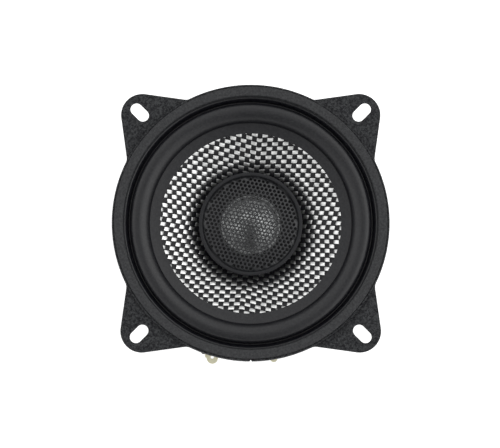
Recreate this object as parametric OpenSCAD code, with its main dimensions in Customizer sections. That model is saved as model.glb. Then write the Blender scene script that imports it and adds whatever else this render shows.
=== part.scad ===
// Four inch coaxial car loudspeaker.
// Origin: on the speaker's axis, in the plane of the ears' rear faces, where it meets a panel.
// +Z is the way the sound leaves. The four mounting ears lie on the X and Y axes.
// The terminals point outwards, midway between the +X and the -Y ear.

/* [Chassis] */
// Radius of the round rim
rim_r = 51.2; // [50.8:0.1:51.5]
// Thickness of the flange and its ears
flange_t = 1.2; // [1:0.1:1.4]
// Height of the lip around the rim, above the flange
lip_h = 1.4; // [0.8:0.1:1.5]
// Wall thickness of the pressed bowl
sheet_t = 0.8; // [0.7:0.1:1]
// Outer radius of the spigot that enters the panel's cut-out
spigot_r = 46.4; // [46.3:0.1:46.6]
// Depth of the spigot behind the ears
spigot_depth = 6; // [5:0.5:6]
// Legs between the bowl's windows, half their angle
leg_half_angle = 9; // [8:0.5:10]
// Direction of the terminals, seen from the front
terminal_angle = -45; // [-135:90:135]

/* [Ears] */
// Radius of the circle through the four slots' centres
slot_circle_r = 58; // [57.5:0.1:58.5]
// Width of a slot
slot_w = 4.5; // [4.2:0.1:5]
// Length of a slot, end to end
slot_l = 7.8; // [7:0.1:8]
// Radius of an ear's rounded tip
ear_tip_r = 7.9; // [7:0.1:8]
// Half the angle between an ear's two sides
ear_half_angle = 37; // [34:1:40]

/* [Cone and suspension] */
// Outer radius of the cone's visible slope
slope_r = 33.4; // [33:0.1:33.6]
// Angle of the cone's slope
slope_angle = 28; // [27:0.5:28.5]
// Thickness of the cone
cone_t = 0.6; // [0.4:0.1:0.7]
// Radius of the top of the surround's roll
roll_top_r = 41.35; // [41.1:0.05:41.5]
// Height of the roll's top above the ears' rear faces
roll_top_z = 2.5; // [2:0.1:2.7]
// Thickness of the surround's rubber
rubber_t = 0.45; // [0.4:0.01:0.5]
// Height of the gasket's front face above the ears' rear faces
front_z = 3.2; // [3:0.1:3.6]

/* [Voice coil] */
// Inner radius of the voice coil's former
coil_r = 12.6; // [12.5:0.05:12.7]
// Length of the winding
winding_l = 9; // [7:0.5:10]

/* [Motor] */
// Depth of the top plate's front face behind the ears
motor_depth = 26; // [26:0.5:27]
// Radius of the top and back plates
plate_r = 32.5; // [32:0.5:33]
// Thickness of the top plate
top_plate_t = 4; // [3:0.5:5]
// Radius of the ring magnet
magnet_r = 35; // [34:0.5:35]
// Thickness of the ring magnet
magnet_t = 10; // [9.5:0.5:10]
// Thickness of the back plate
back_plate_t = 5; // [5:0.5:6]

/* [Tweeter] */
// Outer radius of the tweeter's front ring
bezel_r = 19.15; // [19:0.05:19.2]
// Inner radius of the tweeter's front ring
bezel_inner_r = 17.9; // [17.6:0.1:17.9]
// Depth of the front ring's face behind the ears
bezel_depth = 2.5; // [2.3:0.1:2.6]
// Radius of the dome
dome_r = 9.3; // [9.2:0.05:9.3]
// Height of the dome
dome_h = 2.3; // [1.8:0.1:2.6]
// Distance between neighbouring holes of the grille
grille_pitch = 1.57; // [1.5:0.01:2.5]
// Diameter of the grille's holes
grille_hole_d = 1; // [0.8:0.05:1.1]

/* [Hidden] */
$fn = 96;
eps = 0.01;

black_steel = "#2c2c2e";
bare_steel = "#a9abad";
ferrite = "#3a3a3c";
black_rubber = "#1d1d1f";
black_plastic = "#202022";
copper = "#b06a3a";
gold = "#d9c27a";

// chassis
spigot_inner_r = spigot_r - sheet_t;
ledge_z = -19;                       // front face of the ledge that carries the spider
ledge_inner_r = 26;
cup_z = -motor_depth;                // rear face of the bowl's floor
floor_hole_r = 14.5;
bowl_run = -ledge_z + sheet_t - spigot_depth;   // the bowl's side falls at 45 degrees
bowl_foot_r = spigot_r - bowl_run;
wall_rise = sheet_t * sqrt(2);       // height of the sloping wall, measured along Z
window_r = [bowl_foot_r + 2, spigot_r - 2.8];
window_corner_r = 2.5;
lip_t = 0.75;
corner_cut = [1, 1.6];               // the slope between the flange and the spigot, across and along Z
ear_tip_x = slot_circle_r - 1.4;     // centre of an ear's rounded tip
ear_root_x = rim_r - 5;
rivet_circle_r = 20.5;

// surround and cone
flange_mid_z = flange_t + rubber_t / 2;
rim_top_z = -1.2;                    // front of the cone's flat rim, under the surround
cone_rim_r = 36.8;
gasket_inner_r = 47.1;
gasket_slope_r = 46.4;               // where the gasket's sloping inner side ends
cloth_t = 0.4;                       // thickness of the spider's cloth
lead_anchor = [24, 7];               // where a tinsel lead meets the cone, beside the terminals' direction
roll_foot_r = [37.4, 44.3];          // inner and outer foot of the surround's roll
groove_z = -0.75;                    // floor of the groove outside the roll
rim_tilt = 6;                        // the cone's rim leans inwards by this angle
neck_r = coil_r + 0.15;
function cone_z(r) = rim_top_z - (slope_r - r) * tan(slope_angle);
function rim_z(r) = rim_top_z + (r - slope_r) * tan(rim_tilt);
neck_z = cone_z(neck_r);
cone_rise = cone_t / cos(slope_angle);

// motor
plate_rear_z = cup_z - top_plate_t;
magnet_rear_z = plate_rear_z - magnet_t;
magnet_bore_r = 16;
base_z = magnet_rear_z - back_plate_t;
gap_r = coil_r + 0.8;
pole_r = coil_r - 0.3;
pole_z = cup_z + 0.5;
post_r = 3;
post_bore_r = 1.8;
nut_pocket_r = 7.2;
nut_pocket_depth = 6;
wire_groove_w = 3.2;
wire_groove_depth = 2;
nut_seat_z = base_z + nut_pocket_depth;

// terminals, in a frame whose +X runs outwards at the terminal side
board_z = [-11.6, -10];
board_x = [42.4, 47.6];
board_mid_y = -2.8;
board_w = 31.2;
tongue_w = 10;
rivet_x = 45;
positive_y = -14.2;
negative_y = 8.5;
capacitor_at = [39, 0, -20.5];
capacitor_r = 4;
capacitor_l = 16;

// tweeter
bezel_z = -bezel_depth;
housing_r = bezel_r - 0.17;
housing_top_z = bezel_z - 0.9;
seat_z = -6.95;                      // shelf that carries the diaphragm
film_t = 0.15;
tweeter_floor_z = -13.2;
tweeter_base_z = -14;
tweeter_cup_r = 11.8;
tweeter_bore_r = 11;
tweeter_yoke_z = tweeter_floor_z + 0.8;
tweeter_gap_r = 10;
tweeter_pole_r = 9;
pole_face_z = seat_z - 0.15;
grille_t = 0.45;
grille_r = bezel_inner_r + 0.4;
grille_turn = -56;                   // direction of a row of holes

// ---- shared shapes ----

function arc(x, y, r, from, to, steps) =
    [for (i = [0:steps]) let (a = from + (to - from) * i / steps) [x + r * cos(a), y + r * sin(a)]];

function unit(v) = v / norm(v);

function tangent(p, i) = unit(p[min(i + 1, len(p) - 1)] - p[max(i - 1, 0)]);

// A line of points moved sideways by d.
function shifted(p, d) =
    [for (i = [0:len(p) - 1]) let (t = tangent(p, i)) p[i] + d * [-t[1], t[0]]];

function reversed(p) = [for (i = [len(p) - 1:-1:0]) p[i]];

// A sheet of even thickness, turned around Z, from the line in its middle.
module turned_sheet(line, thickness) {
    rotate_extrude()
        polygon(concat(shifted(line, thickness / 2), reversed(shifted(line, -thickness / 2))));
}

module ring(outer, inner) {
    difference() {
        circle(outer);
        circle(inner);
    }
}

module pipe(outer, inner, z) {
    translate([0, 0, z[0]]) linear_extrude(z[1] - z[0]) ring(outer, inner);
}

// A turned ring with its outer edges cut at 45 degrees.
module chamfered_ring(outer, inner, z, cut) {
    rotate_extrude()
        polygon([[inner, z[0]], [outer - cut, z[0]], [outer, z[0] + cut],
                 [outer, z[1] - cut], [outer - cut, z[1]], [inner, z[1]]]);
}

// A part of a sphere's shell that rises from radius r by h, with its edge at z.
module cap_shell(r, h, thickness, z) {
    sphere_r = (r * r + h * h) / (2 * h);
    translate([0, 0, z]) intersection() {
        translate([0, 0, h - sphere_r]) difference() {
            sphere(sphere_r);
            sphere(sphere_r - thickness);
        }
        translate([0, 0, -thickness]) cylinder(r = r, h = h + 2 * thickness);
    }
}

module at_terminals() {
    rotate([0, 0, terminal_angle]) children();
}

module four_ways() {
    for (a = [0:90:270]) rotate([0, 0, a]) children();
}

// Corner cutting, which turns a bent line into a smooth one.
function smoothed(p, passes) = passes == 0 ? p : smoothed(
    concat([p[0]],
           [for (i = [0:len(p) - 2]) each [0.75 * p[i] + 0.25 * p[i + 1], 0.25 * p[i] + 0.75 * p[i + 1]]],
           [p[len(p) - 1]]),
    passes - 1);

// Sideways directions along a line, carried from point to point without twist.
function carried(p, i, side) = i == len(p) ? [] :
    let (t = tangent(p, i), s = unit(side - (side * t) * t)) concat([s], carried(p, i + 1, s));

// A round wire along a line of points.
module wire(points, r, sides = 8) {
    n = len(points);
    side = carried(points, 0, unit(cross(tangent(points, 0), [0.3, 0.2, 0.9])));
    around = [for (i = [0:n - 1]) let (s = side[i], t = cross(tangent(points, i), s))
        for (k = [0:sides - 1]) points[i] + r * (cos(360 * k / sides) * s + sin(360 * k / sides) * t)];
    walls = [for (i = [0:n - 2]) for (k = [0:sides - 1]) let (a = i * sides, b = (k + 1) % sides)
        [a + k, a + sides + k, a + sides + b, a + b]];
    near_end = [for (k = [0:sides - 1]) k];
    far_end = [for (k = [sides - 1:-1:0]) (n - 1) * sides + k];
    polyhedron(around, concat(walls, [near_end, far_end]));
}

// ---- chassis ----

module ear_outline() {
    side = [sin(ear_half_angle), cos(ear_half_angle)];
    along = (ear_tip_x - ear_root_x + ear_tip_r * side[0]) / cos(ear_half_angle);
    tip = [ear_tip_x + ear_tip_r * side[0], ear_tip_r * side[1]];
    root = [ear_root_x, tip[1] + along * side[0]];
    polygon([tip, root, [root[0], -root[1]], [tip[0], -tip[1]]]);
    translate([ear_tip_x, 0]) circle(ear_tip_r);
}

module slot_outline() {
    straight = slot_l - slot_w;
    translate([slot_circle_r, 0]) {
        square([straight, slot_w], center = true);
        for (s = [-1, 1]) translate([s * straight / 2, 0]) circle(slot_w / 2);
    }
}

module flange_outline() {
    difference() {
        union() {
            circle(rim_r);
            four_ways() ear_outline();
        }
        circle(spigot_inner_r);
        four_ways() slot_outline();
    }
}

// One window between two legs, seen from the front, with rounded corners.
module window_outline() {
    a = 45 - leg_half_angle;
    c = window_corner_r;
    reach = 60;
    intersection() {
        ring(window_r[1] - c, window_r[0] + c);
        polygon([[0, 0], [reach, reach * tan(a)], [reach, -reach * tan(a)]]);
    }
    intersection() {
        ring(window_r[1], window_r[0]);
        translate([c / sin(a), 0]) polygon([[0, 0], [reach, reach * tan(a)], [reach, -reach * tan(a)]]);
    }
    for (s = [-1, 1]) for (r = [window_r[0] + c, window_r[1] - c])
        rotate(s * (a - asin(c / r))) translate([r, 0]) circle(c);
}

module bowl_shell() {
    t = sheet_t;
    rotate_extrude()
        polygon([
            [spigot_r, flange_t / 2], [spigot_r, -spigot_depth], [bowl_foot_r, ledge_z - t],
            [ledge_inner_r + t, ledge_z - t], [ledge_inner_r + t, cup_z], [floor_hole_r, cup_z],
            [floor_hole_r, cup_z + t], [ledge_inner_r, cup_z + t], [ledge_inner_r, ledge_z],
            [bowl_foot_r - t + wall_rise, ledge_z],
            [spigot_inner_r, -spigot_depth + wall_rise - t], [spigot_inner_r, flange_t / 2]
        ]);
}

module rim_lip() {
    top = flange_t + lip_h;
    edge = 0.35;
    rotate_extrude()
        polygon(concat([[rim_r - lip_t, flange_t - eps], [rim_r, flange_t - eps]],
                       arc(rim_r - edge, top - edge, edge, 0, 90, 6), [[rim_r - lip_t, top]]));
}

module basket() {
    color(black_steel) difference() {
        union() {
            linear_extrude(flange_t) flange_outline();
            rim_lip();
            bowl_shell();
            // the tongue that the terminal board is riveted to
            at_terminals() translate([board_x[0] - 4, board_mid_y - tongue_w / 2, board_z[0] - sheet_t])
                cube([board_x[1] - board_x[0] + 4, tongue_w, sheet_t]);
            // a small mark on the rim, opposite the terminals
            at_terminals() translate([-rim_r + 0.5, 0, 0]) cylinder(r = 0.8, h = flange_t);
        }
        translate([0, 0, ledge_z + 1]) linear_extrude(-ledge_z - 3) four_ways() window_outline();
        rotate_extrude()
            polygon([[spigot_inner_r - 1, flange_t - corner_cut[1]], [spigot_inner_r, flange_t - corner_cut[1]],
                     [spigot_inner_r + corner_cut[0], flange_t], [spigot_inner_r + corner_cut[0], flange_t + 1],
                     [spigot_inner_r - 1, flange_t + 1]]);
        // the notch in the rim at the terminal side
        at_terminals() translate([rim_r, 0, -1]) cylinder(r = 0.6, h = 5);
        at_terminals() for (y = [-2.5, 2.5]) translate([rivet_x, board_mid_y + y, -15]) cylinder(r = 1.2, h = 6);
        four_ways() translate([rivet_circle_r, 0, cup_z - 1]) cylinder(r = 1.5, h = 3);
    }
}

module gasket_ring() {
    inner = gasket_inner_r;
    outer = rim_r - lip_t - 0.1;
    bottom = flange_t + rubber_t;
    edge = 0.4;
    color("#36363a") rotate_extrude()
        polygon(concat([[gasket_slope_r, bottom], [outer, bottom]],
                       arc(outer - edge, front_z - edge, edge, 0, 90, 6),
                       [[inner, front_z]]));
}

module basket_rivets() {
    color(bare_steel) four_ways() translate([rivet_circle_r, 0, 0]) {
        translate([0, 0, cup_z + sheet_t]) cylinder(r = 2.6, h = 0.9);
        translate([0, 0, cup_z - 2.5]) cylinder(r = 1.5, h = 2.5 + sheet_t);
    }
}

// ---- cone and its suspension ----

module surround() {
    wall_x = spigot_inner_r - 0.3;
    bend = 0.3;
    groove_bend = (wall_x - roll_foot_r[1]) / 2;
    foot_x = roll_foot_r[0] - bend;
    foot_z = rim_z(foot_x) + rubber_t / 2;
    // steep and square outside, easier inside
    roll = [for (a = [4:4:176]) let (
            outside = a < 90,
            n = outside ? 2.8 : 1.8,
            r = roll_foot_r[outside ? 1 : 0],
            z = outside ? groove_z + groove_bend : foot_z + bend)
        [roll_top_r + (r - roll_top_r) * pow(abs(cos(a)), 2 / n),
         z + (roll_top_z - rubber_t / 2 - z) * pow(sin(a), 2 / n)]];
    line = concat([[rim_r - 1, flange_mid_z], [wall_x + corner_cut[0] + 0.3, flange_mid_z],
                   [wall_x + corner_cut[0] + 0.1, flange_mid_z - 0.05], [wall_x + corner_cut[0] - 0.05, flange_mid_z - 0.2]],
                  arc(wall_x - groove_bend, groove_z + groove_bend, groove_bend, 0, -180, 10),
                  roll,
                  arc(foot_x, foot_z + bend, bend, 0, rim_tilt - 90, 5),
                  [[slope_r, rim_top_z + rubber_t / 2]]);
    color(black_rubber) turned_sheet(line, rubber_t);
}

module cone() {
    bend = cone_t * tan((slope_angle - rim_tilt) / 2);
    color("#b9bcc0") rotate_extrude()
        polygon([[cone_rim_r, rim_z(cone_rim_r)], [slope_r, rim_top_z], [neck_r, neck_z],
                 [neck_r, neck_z - cone_rise], [slope_r - bend, rim_top_z - cone_t],
                 [cone_rim_r, rim_z(cone_rim_r) - cone_t]]);
}

module spider() {
    mid_z = ledge_z + cloth_t / 2;
    collar_x = neck_r + cloth_t / 2;
    waves = 4;
    steps = 20 * waves;
    wave_x = [collar_x + 0.8, ledge_inner_r - 0.3];
    wave_h = 0.9;
    line = concat([[collar_x, mid_z + 1.6]],
                  arc(collar_x + 0.5, mid_z + 0.5, 0.5, 180, 270, 5),
                  [for (i = [1:steps - 1]) [
                      wave_x[0] + (wave_x[1] - wave_x[0]) * i / steps,
                      mid_z + wave_h * sin(360 * waves * i / steps)]],
                  [[wave_x[1] + 0.1, mid_z], [wave_x[1] + 0.5, mid_z], [30, mid_z]]);
    color("#c9a86a") turned_sheet(line, cloth_t);
}

module coil_former() {
    color("#8f7a55") pipe(neck_r, coil_r, [neck_z - 20.9, neck_z + 0.4]);
}

module coil_winding() {
    mid = cup_z - top_plate_t / 2;
    color(copper) pipe(neck_r + 0.35, neck_r, [mid - winding_l / 2, mid + winding_l / 2]);
}

// The bead of adhesive in the corner between the cone and the former.
module neck_fillet() {
    w = 0.9;
    color(black_plastic) rotate_extrude()
        polygon([[neck_r, neck_z], [neck_r + w, cone_z(neck_r + w)], [neck_r, neck_z + 1.1]]);
}

// Dots of adhesive behind the cone, which hold the ends of the tinsel leads.
module lead_anchors() {
    anchor_z = cone_z(norm(lead_anchor)) - cone_rise;
    color(black_plastic) difference() {
        at_terminals() for (s = [-1, 1]) translate([lead_anchor[0], s * lead_anchor[1], anchor_z - 1])
            cylinder(r = 1.7, h = 3);
        rotate_extrude()
            polygon([[10, cone_z(10) - cone_rise], [34, cone_z(34) - cone_rise], [34, 4], [10, 4]]);
    }
}

module tinsel_leads() {
    end = [lead_anchor[0], lead_anchor[1], cone_z(norm(lead_anchor)) - cone_rise - 1.1];
    positive = [[39, positive_y, -9.6], [36, -13.6, -10.6], [31, -11, -12.8], [26.5, -8.4, -11.8],
                [end[0], -end[1], end[2] - 1.4], [end[0], -end[1], end[2]]];
    negative = [[39, negative_y, -9.75], [36, 8.8, -10.6], [31, 8.8, -12.8], [26.5, 7.8, -11.8],
                [end[0], end[1], end[2] - 1.4], [end[0], end[1], end[2]]];
    color(copper) at_terminals() for (route = [positive, negative])
        wire(smoothed(route, 2), 0.45);
}

// ---- motor ----

module top_plate() {
    color(bare_steel) difference() {
        chamfered_ring(plate_r, gap_r, [plate_rear_z, cup_z], 0.4);
        four_ways() translate([rivet_circle_r, 0, cup_z - 2.5]) cylinder(r = 1.5, h = 4);
    }
}

module ring_magnet() {
    color(ferrite) chamfered_ring(magnet_r, magnet_bore_r, [magnet_rear_z, plate_rear_z], 0.7);
}

module yoke() {
    color(bare_steel) difference() {
        union() {
            chamfered_ring(plate_r, post_r + 0.1, [base_z, magnet_rear_z], 0.5);
            chamfered_ring(pole_r, post_r + 0.1, [magnet_rear_z - 1, pole_z], 0.5);
        }
        translate([0, 0, base_z - 1]) cylinder(r = nut_pocket_r, h = nut_pocket_depth + 1);
        // the groove that leads the tweeter's wires out from under the magnet
        at_terminals() translate([0, -wire_groove_w / 2, base_z - 1])
            cube([plate_r + 1, wire_groove_w, wire_groove_depth + 1]);
    }
}

// ---- terminals and crossover ----

module rounded_plate(x, y, r) {
    translate([x[0] + r, y[0]]) square([x[1] - x[0] - 2 * r, y[1] - y[0]]);
    translate([x[0], y[0] + r]) square([x[1] - x[0], y[1] - y[0] - 2 * r]);
    for (cx = [x[0] + r, x[1] - r]) for (cy = [y[0] + r, y[1] - r]) translate([cx, cy]) circle(r);
}

module terminal_board() {
    color("#3a2a1c") at_terminals() translate([0, 0, board_z[0]]) linear_extrude(board_z[1] - board_z[0])
        difference() {
            rounded_plate(board_x, [board_mid_y - board_w / 2, board_mid_y + board_w / 2], 1);
            for (y = [-2.5, 2.5]) translate([rivet_x, board_mid_y + y]) circle(1.2);
            for (y = [positive_y, negative_y]) translate([rivet_x, y]) circle(1.1);
        }
}

// A blade terminal that lies along X with its middle on y and a round end of radius tip_r.
module blade(y, width, thickness, tip_x, tip_r, hole_x, hole_r) {
    shoulder_x = tip_x - tip_r - 0.4;
    color(gold) at_terminals() translate([0, y, board_z[1]]) linear_extrude(thickness) difference() {
        union() {
            translate([board_x[0], -width / 2]) square([shoulder_x - board_x[0], width]);
            hull() {
                translate([shoulder_x - 0.5, -width / 2]) square([0.5, width]);
                translate([tip_x - tip_r, -tip_r]) square([0.01, 2 * tip_r]);
            }
            translate([tip_x - tip_r, 0]) circle(tip_r);
            translate([39.2, -1]) square([board_x[0] - 39.2, 2]);
        }
        translate([hole_x, 0]) circle(hole_r);
        translate([rivet_x, 0]) circle(1.1);
    }
}

module terminal_positive() {
    blade(positive_y, 5.4, 0.8, 51.3, 2.1, 48.8, 0.6);
}

module terminal_negative() {
    blade(negative_y, 2.8, 0.5, 50.7, 1.4, 48.9, 0.45);
}

// A rivet along Z whose shank runs over z and whose heads lie beyond it.
module rivet(shank_r, head_r, z) {
    head_h = 0.6;
    translate([0, 0, z[0]]) cylinder(r = shank_r, h = z[1] - z[0]);
    translate([0, 0, z[0] - head_h]) cylinder(r = head_r, h = head_h);
    translate([0, 0, z[1]]) cylinder(r = head_r, h = head_h);
}

module terminal_rivets() {
    color(gold) at_terminals() {
        translate([rivet_x, positive_y, 0]) rivet(1.1, 1.8, [board_z[0], board_z[1] + 0.8]);
        translate([rivet_x, negative_y, 0]) rivet(1.1, 1.35, [board_z[0], board_z[1] + 0.5]);
    }
}

module board_rivets() {
    color(bare_steel) at_terminals() for (y = [-2.5, 2.5])
        translate([rivet_x, board_mid_y + y, 0]) rivet(1.2, 1.9, [board_z[0] - sheet_t, board_z[1]]);
}

module capacitor_can() {
    h = capacitor_l / 2;
    r = capacitor_r;
    translate(capacitor_at) rotate([-90, 0, 0]) rotate_extrude()
        polygon([[0, -h], [r - 0.4, -h], [r, -h + 0.4], [r, h - 2.6], [r - 0.45, h - 2.2],
                 [r - 0.45, h - 1.8], [r, h - 1.4], [r, h - 0.4], [r - 0.4, h], [0, h]]);
}

module capacitor() {
    color("#23252b") at_terminals() capacitor_can();
}

module capacitor_glue() {
    color("#cfc9b4") difference() {
        at_terminals() translate([34.5, -3.4, -19.2]) cube([6, 6.8, 5.4]);
        at_terminals() capacitor_can();
        rotate_extrude()
            polygon([[20, ledge_z - 4], [bowl_foot_r, ledge_z - 4], [bowl_foot_r, ledge_z - sheet_t],
                     [spigot_r, -spigot_depth], [20, -spigot_depth]]);
    }
}

module capacitor_leads() {
    end = capacitor_l / 2;
    c = capacitor_at;
    to_terminal = [[c[0], -end, c[2]], [c[0], -end - 2.5, c[2]], [39.6, -13.6, -18.4],
                   [40.2, positive_y, -15.5], [40.2, positive_y, board_z[1]]];
    to_tweeter = [[c[0], end, c[2]], [c[0], end + 1.5, c[2]], [c[0], end + 3, c[2]]];
    color(bare_steel) at_terminals() {
        wire(smoothed(to_terminal, 2), 0.35);
        wire(to_tweeter, 0.35);
    }
}

module splice_sleeve() {
    color(black_rubber) at_terminals() translate([capacitor_at[0], capacitor_l / 2 + 1, capacitor_at[2]])
        rotate([-90, 0, 0]) pipe(1.1, 0.6, [0, 4.4]);
}

module tweeter_wires() {
    wire_r = 0.55;
    c = capacitor_at;
    start_y = capacitor_l / 2 + 3;
    floor_z = -44.2;
    // from the capacitor
    first = [[c[0], start_y, c[2]], [c[0], start_y + 4, c[2]], [38.6, 18, -23], [37.4, 15.5, -27],
             [36.4, 10, -31.5], [35.9, 4, -36.5], [35.8, -0.65, -40.5], [35.6, -0.65, -43.4],
             [34, -0.65, floor_z], [20, -0.65, floor_z], [4, -0.65, floor_z],
             [0.9, -0.65, floor_z + 0.4], [0.3, -0.65, -41], [0.3, -0.65, -30], [0.3, -0.65, -13.6]];
    // from the negative terminal
    second = [[40.2, negative_y, board_z[1]], [40.2, negative_y, -13], [41.2, 13, -17], [41, 20, -21.5],
              [38.6, 19.5, -27], [36.8, 13.5, -32], [36, 7, -36.8], [35.8, 0.65, -40.5],
              [35.6, 0.65, -43.4], [34, 0.65, floor_z], [20, 0.65, floor_z], [4, 0.65, floor_z],
              [0.9, 0.65, floor_z + 0.4], [0.3, 0.65, -41], [0.3, 0.65, -30], [0.3, 0.65, -13.6]];
    color("#7a1d1d") at_terminals() for (route = [first, second])
        wire(smoothed(route, 2), wire_r);
}

// ---- tweeter ----

module tweeter_pedestal() {
    bore = post_r + 0.05;
    color(black_plastic) rotate_extrude()
        polygon([[bore, pole_z], [7.5, pole_z], [7.5, pole_z + 1], [5.6, pole_z + 2.6],
                 [5.6, tweeter_base_z - 3.2], [9.5, tweeter_base_z - 1], [9.5, tweeter_base_z],
                 [bore, tweeter_base_z]]);
}

module tweeter_post() {
    color(bare_steel) {
        pipe(5, post_bore_r, [tweeter_floor_z, tweeter_yoke_z]);
        pipe(post_r, post_bore_r, [base_z + 2.4, tweeter_floor_z]);
    }
}

module post_washer() {
    color(bare_steel) pipe(5.8, post_r + 0.1, [nut_seat_z - 0.8, nut_seat_z]);
}

module post_nut() {
    across_flats = 10;
    height = 2.4;
    color(bare_steel) translate([0, 0, nut_seat_z - 0.8 - height]) difference() {
        cylinder(r = across_flats / 2 / cos(30), h = height, $fn = 6);
        translate([0, 0, -1]) cylinder(r = post_r, h = height + 2);
    }
}

module tweeter_housing() {
    shelf_r = 13.2;
    shoulder_z = seat_z + film_t;
    color(black_plastic) rotate_extrude()
        polygon([[housing_r, housing_top_z], [housing_r, -5], [housing_r - 0.4, -5.4],
                 [12.2, -8.6], [tweeter_cup_r, -9.2],
                 [tweeter_cup_r, tweeter_base_z + 0.4], [tweeter_cup_r - 0.4, tweeter_base_z],
                 [post_r + 0.05, tweeter_base_z], [post_r + 0.05, tweeter_floor_z],
                 [tweeter_bore_r, tweeter_floor_z], [tweeter_bore_r, seat_z], [shelf_r, seat_z],
                 [shelf_r, shoulder_z], [bezel_inner_r - 0.1, -4.8], [bezel_inner_r - 0.1, housing_top_z]]);
}

module tweeter_bezel() {
    edge = 0.3;
    inner_edge = 0.25;
    lip_z = housing_top_z + grille_t + 0.05;
    color(black_steel) rotate_extrude()
        polygon(concat([[grille_r + 0.05, housing_top_z], [bezel_r, housing_top_z]],
                       arc(bezel_r - edge, bezel_z - edge, edge, 0, 90, 5),
                       arc(bezel_inner_r + inner_edge, bezel_z - inner_edge, inner_edge, 90, 180, 4),
                       [[bezel_inner_r, lip_z], [grille_r + 0.05, lip_z]]));
}

// Round holes in staggered rows, out to radius reach.
module perforation(reach) {
    p = grille_pitch;
    rows = floor(reach / (p * sin(60)));
    rotate(grille_turn) for (j = [-rows:rows]) for (i = [-2 * rows:2 * rows])
        let (at = [(i + j / 2) * p, j * p * sin(60)])
            if (norm(at) < reach) translate(at) circle(grille_hole_d / 2, $fn = 24);
}

module tweeter_grille() {
    color(black_steel) translate([0, 0, housing_top_z]) linear_extrude(grille_t) difference() {
        circle(grille_r);
        perforation(bezel_inner_r - 0.9);
    }
}

// The ring that clamps the diaphragm and opens out to the grille.
module tweeter_retainer() {
    bottom = seat_z + film_t;
    outer = bezel_inner_r - 0.2;
    color(black_plastic) rotate_extrude()
        polygon([[11.5, bottom], [13.1, bottom], [outer, -4.78], [outer, -4.2],
                 [13.3, bottom + 0.65], [11.7, bottom + 0.65], [11.5, bottom + 0.45]]);
}

module tweeter_yoke_cup() {
    floor_t = 1.2;
    color(bare_steel) rotate_extrude()
        polygon([[0, tweeter_yoke_z], [tweeter_bore_r - 0.05, tweeter_yoke_z], [tweeter_bore_r - 0.05, seat_z - 0.05],
                 [tweeter_gap_r, seat_z - 0.05], [tweeter_gap_r, tweeter_yoke_z + floor_t],
                 [0, tweeter_yoke_z + floor_t]]);
}

module tweeter_magnet() {
    color("#8d9096") translate([0, 0, tweeter_yoke_z + 1.2])
        cylinder(r = 7.8, h = pole_face_z - 1.6 - tweeter_yoke_z - 1.2);
}

module tweeter_pole_plate() {
    color(bare_steel) translate([0, 0, pole_face_z - 1.6]) cylinder(r = tweeter_pole_r, h = 1.6);
}

module tweeter_felt() {
    color("#6f6d68") translate([0, 0, pole_face_z]) cylinder(r = 6, h = 0.9);
}

module tweeter_dome() {
    color("#c8cbd0") cap_shell(dome_r, dome_h, film_t, seat_z + film_t);
}

module tweeter_suspension() {
    mid_z = seat_z + film_t / 2;
    roll_r = 0.75;
    roll_x = 10.5;
    line = concat([[dome_r, mid_z], [roll_x - roll_r - 0.1, mid_z]],
                  arc(roll_x, mid_z + 0.1, roll_r, 180, 0, 12),
                  [[roll_x + roll_r + 0.1, mid_z], [13.1, mid_z]]);
    color("#b4b7bc") turned_sheet(line, film_t);
}

module tweeter_coil_former() {
    color("#8f7a55") pipe(9.45, 9.35, [seat_z - 2.1, seat_z]);
}

module tweeter_coil_winding() {
    color(copper) pipe(9.65, 9.45, [seat_z - 2, seat_z - 0.3]);
}

basket();
gasket_ring();
surround();
cone();
spider();
coil_former();
coil_winding();
neck_fillet();
lead_anchors();
tinsel_leads();
top_plate();
ring_magnet();
yoke();
basket_rivets();
terminal_board();
terminal_positive();
terminal_negative();
terminal_rivets();
board_rivets();
capacitor();
capacitor_leads();
capacitor_glue();
splice_sleeve();
tweeter_wires();
tweeter_pedestal();
tweeter_post();
post_washer();
post_nut();
tweeter_housing();
tweeter_bezel();
tweeter_grille();
tweeter_retainer();
tweeter_yoke_cup();
tweeter_magnet();
tweeter_pole_plate();
tweeter_felt();
tweeter_dome();
tweeter_suspension();
tweeter_coil_former();
tweeter_coil_winding();
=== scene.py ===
"""Looks, light and camera for the coaxial car speaker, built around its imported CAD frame."""
import math
import random

import bmesh
import bpy
import numpy as np
from mathutils import Matrix, Vector


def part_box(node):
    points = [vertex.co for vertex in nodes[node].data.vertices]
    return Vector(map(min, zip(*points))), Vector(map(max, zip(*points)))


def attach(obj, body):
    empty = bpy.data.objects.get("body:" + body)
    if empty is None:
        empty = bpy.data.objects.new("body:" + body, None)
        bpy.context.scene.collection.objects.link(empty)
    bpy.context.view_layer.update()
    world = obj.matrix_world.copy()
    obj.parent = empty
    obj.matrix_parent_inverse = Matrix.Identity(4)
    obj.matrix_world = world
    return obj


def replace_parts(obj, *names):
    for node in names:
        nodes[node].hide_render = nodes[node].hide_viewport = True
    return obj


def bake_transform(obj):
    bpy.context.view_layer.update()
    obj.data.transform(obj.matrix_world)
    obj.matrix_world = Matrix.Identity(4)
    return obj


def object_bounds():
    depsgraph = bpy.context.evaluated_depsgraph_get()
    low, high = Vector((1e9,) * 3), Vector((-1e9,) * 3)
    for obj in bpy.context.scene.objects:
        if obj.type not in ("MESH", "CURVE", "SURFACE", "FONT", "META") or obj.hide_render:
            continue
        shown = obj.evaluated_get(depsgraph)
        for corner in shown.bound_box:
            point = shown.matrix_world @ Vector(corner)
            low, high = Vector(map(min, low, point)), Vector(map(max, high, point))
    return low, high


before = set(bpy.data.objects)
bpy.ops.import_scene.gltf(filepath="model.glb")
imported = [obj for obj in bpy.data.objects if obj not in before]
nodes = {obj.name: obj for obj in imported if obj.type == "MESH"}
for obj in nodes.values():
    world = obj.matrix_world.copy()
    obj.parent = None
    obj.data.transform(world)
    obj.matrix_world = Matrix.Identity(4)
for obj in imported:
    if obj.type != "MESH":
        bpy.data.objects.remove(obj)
cad_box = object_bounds()

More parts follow.
